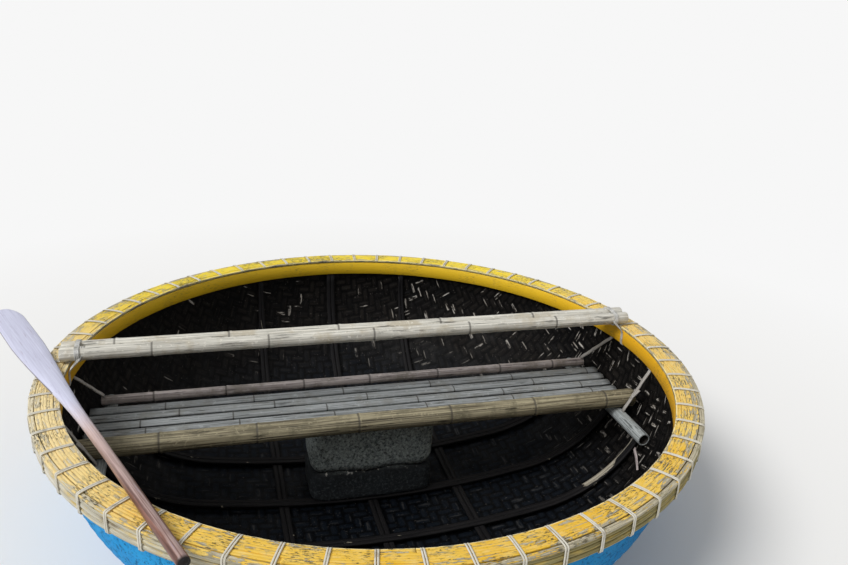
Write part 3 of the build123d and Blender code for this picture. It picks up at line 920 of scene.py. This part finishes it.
hoop_edge = 0.4062
hanger_width = 0.0125
hanger_thick = 0.0040
hanger_crown = 0.0008
hanger_head_radius = 0.9265
front_hanger_y = -0.1373
rear_hanger_y = 0.130
front_foot = slat_seat + 0.0004
rear_foot = slat_seat + 0.0315
rear_foot_in = 0.010
fork_run = 0.042
for side, hand in ((-1, "left"), (1, "right")):
    rear_foot_x = side * (rear_culm_half - rear_foot_in)
    for row, foot, head_y in (
        ("front", Vector((side * bearer_line, front_hanger_y, front_foot)), front_hanger_y),
        ("rear", Vector((rear_foot_x, rear_culm_y, rear_foot)), rear_hanger_y),
    ):
        top = Vector((side * sqrt(hanger_head_radius**2 - head_y**2), head_y, hoop_edge))
        steps = 10
        line = [foot.lerp(top, i / steps) for i in range(steps + 1)]
        rise = (top - foot).normalized()
        broad = (Vector((0, 1, 0)) - rise * rise.y).normalized()
        facing = broad.cross(rise) * side
        for i, point in enumerate(line):
            point += broad * 0.0010 * sin(i * 1.9) - facing * hanger_thick / 2
        bm = bmesh.new()
        many = len(line)
        strip_on(bm, line, [broad] * many, hanger_width, hanger_thick, [facing] * many, hanger_crown)
        if row == "front":
            root = foot.lerp(top, 0.30)
            tip = root + rise * fork_run - broad * hanger_width
            twig = [root.lerp(tip, i / 4) - facing * hanger_thick / 2 for i in range(5)]
            narrow = hanger_width * 0.55
            strip_on(bm, twig, [broad] * 5, narrow, hanger_thick, [facing] * 5, hanger_crown)
        lay_grain(bm, lambda co, middle: (co.z, co.y))
        keep(f"hanger_{row}_{hand}_stick", bm, [stick_grey], f"hanger_{row}_{hand}")

# Block. A dark rubbery block in two layers under the middle of the bench, its corners round and
# its sides a little swollen, scuffed grey, with a wavy joint between the layers. The upper layer
# is painted paler, partly as painted light, and painted shade darkens both layers near the joint.
block_half_width = 0.215
block_front = -0.020
block_back = 0.190
block_top = 0.2506
joint_height = 0.0454
joint_gap = 0.0006
block_foot = -0.0655

rubber, shader = finish("scuffed_rubber", 0.25)
place = where(shader)
height = axes(place)["Z"]
# The upper layer is painted far paler than the lower: partly its own grey, partly painted light for the
# light falling on its front under the bench.
upper = ramp(height, 0.040, 0.052)
colour = blend(upper, (0.013, 0.016, 0.019), (0.25, 0.285, 0.277))
pale = blend(upper, (0.030, 0.036, 0.040), (0.44, 0.49, 0.475))
colour = cover(colour, pale, speckle(place, 9.0, 5.0, 0.6), 0.38, 0.68, 0.5)
grit = speckle(place, 105.0, 6.0, 0.8)
pale_grit = blend(upper, (0.07, 0.08, 0.085), (0.62, 0.68, 0.65))
colour = cover(colour, pale_grit, grit, 0.51, 0.62, 0.9)
colour = cover(colour, (0.012, 0.014, 0.016), grit, 0.48, 0.40, 0.85)
# Painted shade: both layers are painted darker close to the joint, in the crease between them.
from_joint = maths("ABSOLUTE", minus(height, joint_height))
colour = cover(colour, (0.010, 0.011, 0.012), from_joint, 0.030, 0.004, 0.75)
white = ramp(speckle(place, 55.0, 5.0, 0.65), 0.58, 0.62)
colour = blend(times(ramp(from_joint, 0.009, 0.002), white), colour, (0.50, 0.49, 0.45))
surface(shader, colour, grit, 0.0022, 0.85)


def block_layer(name, low, high, wave_top):
    """One layer of the block: a cube whose sides are cut up, rounded at the corners and swollen."""
    bm = bmesh.new()
    bmesh.ops.create_cube(bm, size=2.0)
    bmesh.ops.subdivide_edges(bm, edges=bm.edges, cuts=15, use_grid_fill=True)
    middle = Vector((0, (block_front + block_back) / 2, (low + high) / 2))
    half = Vector((block_half_width, (block_back - block_front) / 2, (high - low) / 2))
    for v in bm.verts:
        a, b, c = v.co
        round_corner = max(abs(a), abs(b)) / max((abs(a) ** 7 + abs(b) ** 7) ** (1 / 7), 1e-6)
        pinch = 1 - 0.10 * abs(c) ** 6 - 0.02
        lump = 1 + 0.012 * wavy(a * 1.7, b * 1.7, c * 1.3 + low * 20)
        x = a * round_corner * pinch * lump * half.x
        y = b * round_corner * pinch * lump * half.y
        wave = 0.006 * sin(x * 31 + y * 11) + 0.003 * wavy(x * 14, y * 14, 3)
        share = (c + 1) / 2 if wave_top else (1 - c) / 2
        z = middle.z + c * half.z + wave * max(share, 0.0) ** 2 * 0.9
        v.co = (x, y + middle.y, min(z, block_top))
    bmesh.ops.recalc_face_normals(bm, faces=bm.faces)
    keep(f"{name}_layer", bm, [rubber], name)


block_layer("block_upper", joint_height, block_top, False)
block_layer("block_lower", block_foot, joint_height - joint_gap, True)

# Rim poles. Two weathered bamboos laid across the rim behind the bench, to tie up to and to hold
# on to, bound together at each end with white cord.
rim_pole_radius = 0.021
rim_pole_height = 0.494
rim_pole_half = 0.940
front_pole_y = 0.100
rear_pole_y = 0.1443
for name, y, knots in (
    ("front", front_pole_y, (0.26, 0.61, 0.95, 1.28, 1.60)),
    ("rear", rear_pole_y, (0.15, 0.49, 0.84, 1.19, 1.53)),
):
    pole(
        f"rim_bamboo_{name}", (-rim_pole_half, y, rim_pole_height), 2 * rim_pole_half,
        rim_pole_radius, knots, pale_culm, f"rim_pole_{name}",
    )

cord_white, shader = finish("cord_white")
place = where(shader)
colour = cover((0.45, 0.44, 0.40), (0.80, 0.79, 0.76), speckle(place, 60.0, 4.0), 0.35, 0.65)
twist = {"Vector": place, "Scale": 130.0, "Distortion": 2.0}
twist = put(place.id_data, "ShaderNodeTexWave", twist).outputs["Fac"]
surface(shader, colour, twist, 0.0012, 0.85)

cord_radius = 0.0024
cord_slack = 0.0003
tie_line = 0.8905


def wind(x, turns, side):
    """Points of a cord wound round both poles, each turn beside the last."""
    points = []
    reach = rim_pole_radius + cord_radius + cord_slack
    apart = rear_pole_y - front_pole_y
    corners = 20
    for i in range(turns * corners + 1):
        angle = 2 * pi * i / corners
        y = (front_pole_y + rear_pole_y) / 2 + reach * cos(angle)
        y += apart / 2 * max(-1, min(1, 2.6 * cos(angle)))
        z = rim_pole_height + reach * sin(angle)
        along = x + side * (i / corners - turns / 2) * 2.1 * cord_radius
        points.append(Vector((along, y, z)))
    return points


def cord_piece(name, runs, node):
    """Cord of even thickness along several lines of points, made a mesh."""
    curve = bpy.data.curves.new(name, "CURVE")
    curve.dimensions = "3D"
    curve.bevel_depth = cord_radius
    curve.bevel_resolution = 2
    curve.resolution_u = 4
    curve.use_fill_caps = True
    for points in runs:
        spline = curve.splines.new("NURBS")
        spline.points.add(len(points) - 1)
        for point, target in zip(points, spline.points):
            target.co = (*point, 1)
        spline.order_u = 3
        spline.use_endpoint_u = True
    drawn = in_scene(name + "_line", curve)
    bpy.context.view_layer.update()
    mesh = bpy.data.meshes.new_from_object(drawn)
    bpy.data.objects.remove(drawn)
    bm = bmesh.new()
    bm.from_mesh(mesh)
    bpy.data.meshes.remove(mesh)
    keep(name, bm, [cord_white], node)


for side, hand in ((-1, "left"), (1, "right")):
    tie_x = side * tie_line
    runs = [wind(tie_x, 3, 1), wind(tie_x + side * 0.002, 2, -1)]
    top = rim_pole_height + rim_pole_radius + cord_radius
    knot = []
    for i in range(16):
        a = i * 0.45
        x, y = tie_x + 0.007 * cos(a * 1.9), front_pole_y + 0.006 * sin(a * 2.3)
        knot.append(Vector((x, y, top - 0.0012 + 0.0012 * sin(a * 3.1))))
    runs.append(knot)
    hoop_face = rim_inside - cord_radius
    down = ((hoop_face, 0.458), (hoop_face, 0.432), (hoop_face, 0.4085), (hoop_face + 0.008, 0.4035))
    for shift in (0.012, 0.019):
        x, face = tie_x - side * shift, front_pole_y - rim_pole_radius
        strand = [Vector((x, front_pole_y, top)), Vector((x, face - cord_radius, rim_pole_height))]
        for radius, z in down:
            y = face - shift * 0.8
            strand.append(Vector((side * sqrt(radius**2 - y**2), y, z)))
        runs.append(strand)
    cord_piece(f"cord_winding_{hand}", runs, f"pole_tie_{hand}")

# Paddle. One carved piece of wood: a round shaft that flattens into a long blade. The blade keeps
# a thin coat of pale lilac paint, the shaft is bare, dark and polished by hands.
paddle_handle = Vector((-0.57553, -0.88640, 0.48935))
paddle_tip = Vector((-1.18071, 0.51880, 0.48018))
shaft_radius = 0.0145
shaft_waist = 0.0127
shaft_run = 0.650
taper_run = 0.550
blade_run = 0.330
blade_half = 0.0465
tip_run = 0.110
shaft_bow = 0.0045

wood, shader = finish("paddle_wood")
lines = grained(shader, 5.0, 230.0, -0.1)
streak = lines["Streak"]
along = axes(lines["Place"])["X"]
shaft = cover((0.070, 0.022, 0.014), (0.23, 0.092, 0.062), streak, 0.40, 0.60)
# Painted sheen: a pale band along the upper side of the shaft stands in for its glossy highlight.
painted_sheen = cover((0.17, 0.085, 0.068), (0.44, 0.31, 0.285), streak, 0.40, 0.60)
patchy = plus(attribute(shader, "upper"), times(speckle(where(shader), 14.0, 5.0), 0.5))
shaft = cover(shaft, painted_sheen, patchy, 0.95, 1.22)
neck = cover((0.42, 0.28, 0.25), (0.64, 0.50, 0.47), streak, 0.3, 0.7)
lilac = cover((0.52, 0.52, 0.66), (0.67, 0.68, 0.83), streak, 0.32, 0.68)
wander = plus(along, times(streak, 0.16))
colour = cover(shaft, neck, wander, 0.34, 0.64)
colour = cover(colour, lilac, wander, 0.64, 0.84)
scrape = fibrous(lines, 9.0, 150.0, 6.0, 0.62)
colour = cover(colour, (0.30, 0.24, 0.32), scrape, 0.60, 0.65, 0.4)
colour = blend(times(attribute(shader, "edge"), 0.8), colour, (0.07, 0.045, 0.045))
end = attribute(shader, "end")
colour = blend(end, colour, (0.010, 0.008, 0.008))
rough = maths("MAXIMUM", ramp(along, 0.6, 1.0, 0.36, 0.6), end)
surface(shader, colour, lines["Height"], 0.0006, rough)

bm = bmesh.new()
made = bmesh.ops.create_circle(bm, cap_ends=True, segments=32, radius=1.0)
bmesh.ops.rotate(bm, verts=made["verts"], cent=(0, 0, 0), matrix=Matrix.Rotation(pi / 2, 3, "Y"))
paddle_steps = 145
paddle_run = shaft_run + taper_run + blade_run
last = bmesh.ops.spin(
    bm, geom=made["verts"] + list(bm.edges), cent=(0, 0, 0), axis=(0, 0, 1), angle=0,
    dvec=(paddle_run / paddle_steps, 0, 0), steps=paddle_steps,
)
bmesh.ops.edgeloop_fill(bm, edges=edges_in(last["geom_last"]))
edge = bm.verts.layers.float.new("edge")
end = bm.verts.layers.float.new("end")
upper = bm.verts.layers.float.new("upper")
for v in bm.verts:
    x, b, c = v.co
    spread = min(max((x - shaft_run) / taper_run, 0), 1)
    eased = 0.6 * spread * spread * (3 - 2 * spread) + 0.4 * spread
    waist = shaft_waist + (shaft_radius - shaft_waist) * min(1, abs(x - 0.45) / 0.2)
    wide = waist + (blade_half - shaft_radius) * eased
    beyond = max(0, x - shaft_run - taper_run) / blade_run
    ridge = shaft_radius - (shaft_radius - 0.0060) * spread
    plank = 0.0100 - 0.0030 * spread - 0.0020 * beyond
    thick = max(ridge, plank)
    to_tip = paddle_run - x
    if to_tip < tip_run:
        wide *= sqrt(max(1 - (1 - to_tip / tip_run) ** 2, 1e-5))
        thick *= min(1, 0.25 + to_tip / 0.02)
    if x < 0.004:
        wide, thick = wide - 0.0012, thick - 0.0012
    square = 1 + 0.8 * eased
    b_flat = abs(b) ** (1 / square) * (1 if b > 0 else -1)
    v[edge] = float(eased > 0.3 and abs(b) > 0.96)
    v[end] = float(x < 0.001)
    v[upper] = max(0.0, c)
    v.co.y = b_flat * wide * 0.998 - shaft_bow * sin(pi * min(1, x / 1.1)) ** 2
    v.co.z = c * thick * (1 - 0.45 * eased * abs(b_flat) ** 6)
lay_grain(bm, lambda co, middle: (co.x, co.y * (1 if middle.z > 0 else -1) + 0.1 * (middle.z > 0)))
ahead = (paddle_tip - paddle_handle).normalized()
across = Vector((0, 0, 1)).cross(ahead).normalized()
laid = Matrix((ahead, across, ahead.cross(across))).transposed()
bm.transform(Matrix.Translation(paddle_handle) @ laid.to_4x4())
keep("carved_paddle", bm, [wood], "paddle", "paddle")

# Studio. A plain pale floor stands for the water, cut away where the hull goes through it, and
# fades into the white around it. The light is a soft high sun from the front left and an even
# pale sky.


def in_view(tree):
    """1 on what the camera sees, straight, in a reflection or through something clear."""
    rays = put(tree, "ShaderNodeLightPath").outputs
    bent = maths("MAXIMUM", rays["Is Glossy Ray"], rays["Is Transmission Ray"])
    return maths("MAXIMUM", rays["Is Camera Ray"], bent)


floor_hole = (wall_radius(water_level, 0.0) + wall_radius(water_level, hull_wall)) / 2
floor_middle = 2.5
floor_reach = 30.0
fade_from, fade_to = 1.3, 3.2
white_glow = {"Color": (0.93, 0.93, 0.93, 1), "Strength": 1.0}
pale_floor, shader = finish("pale_floor", 0.0)
fill(shader, {"Base Color": (0.88, 0.868, 0.845, 1), "Roughness": 0.95})
tree = shader.id_data
glow = put(tree, "ShaderNodeEmission", white_glow)
away = vectors("LENGTH", where(shader))["Value"]
fade = times(ramp(away, fade_from, fade_to), in_view(tree))
mixed = put(tree, "ShaderNodeMixShader", {0: fade, 1: shader.outputs[0], 2: glow.outputs[0]})
fill(tree.nodes["Material Output"], {"Surface": mixed.outputs[0]})
bm = bmesh.new()
rings = []
for radius in (floor_hole, floor_middle, floor_reach):
    made = bmesh.ops.create_circle(bm, cap_ends=False, segments=96, radius=radius)
    rings.append(list({e for v in made["verts"] for e in v.link_edges}))
bmesh.ops.bridge_loops(bm, edges=rings[0] + rings[1])
bmesh.ops.bridge_loops(bm, edges=rings[1] + rings[2])
bmesh.ops.translate(bm, verts=bm.verts, vec=(0, 0, water_level))
bmesh.ops.recalc_face_normals(bm, faces=bm.faces)
shaped("floor", bm, pale_floor)

world = bpy.data.worlds.new("studio")
bpy.context.scene.world = world
world.use_nodes = True
tree = world.node_tree
sky = tree.nodes["Background"]
fill(sky, {"Color": (0.97, 0.985, 1.0, 1), "Strength": 0.44})
white = put(tree, "ShaderNodeBackground", white_glow)
mixed = put(tree, "ShaderNodeMixShader", {0: in_view(tree), 1: sky.outputs[0], 2: white.outputs[0]})
fill(tree.nodes["World Output"], {"Surface": mixed.outputs[0]})

sun = bpy.data.lights.new("sun", "SUN")
sun.energy = 2.3
sun.angle = radians(28)
sunbeam = Vector((0.85, 0.30, -1.0))
in_scene("sun", sun).rotation_euler = sunbeam.to_track_quat("-Z", "Y").to_euler()

bpy.context.scene.view_settings.view_transform = "Standard"
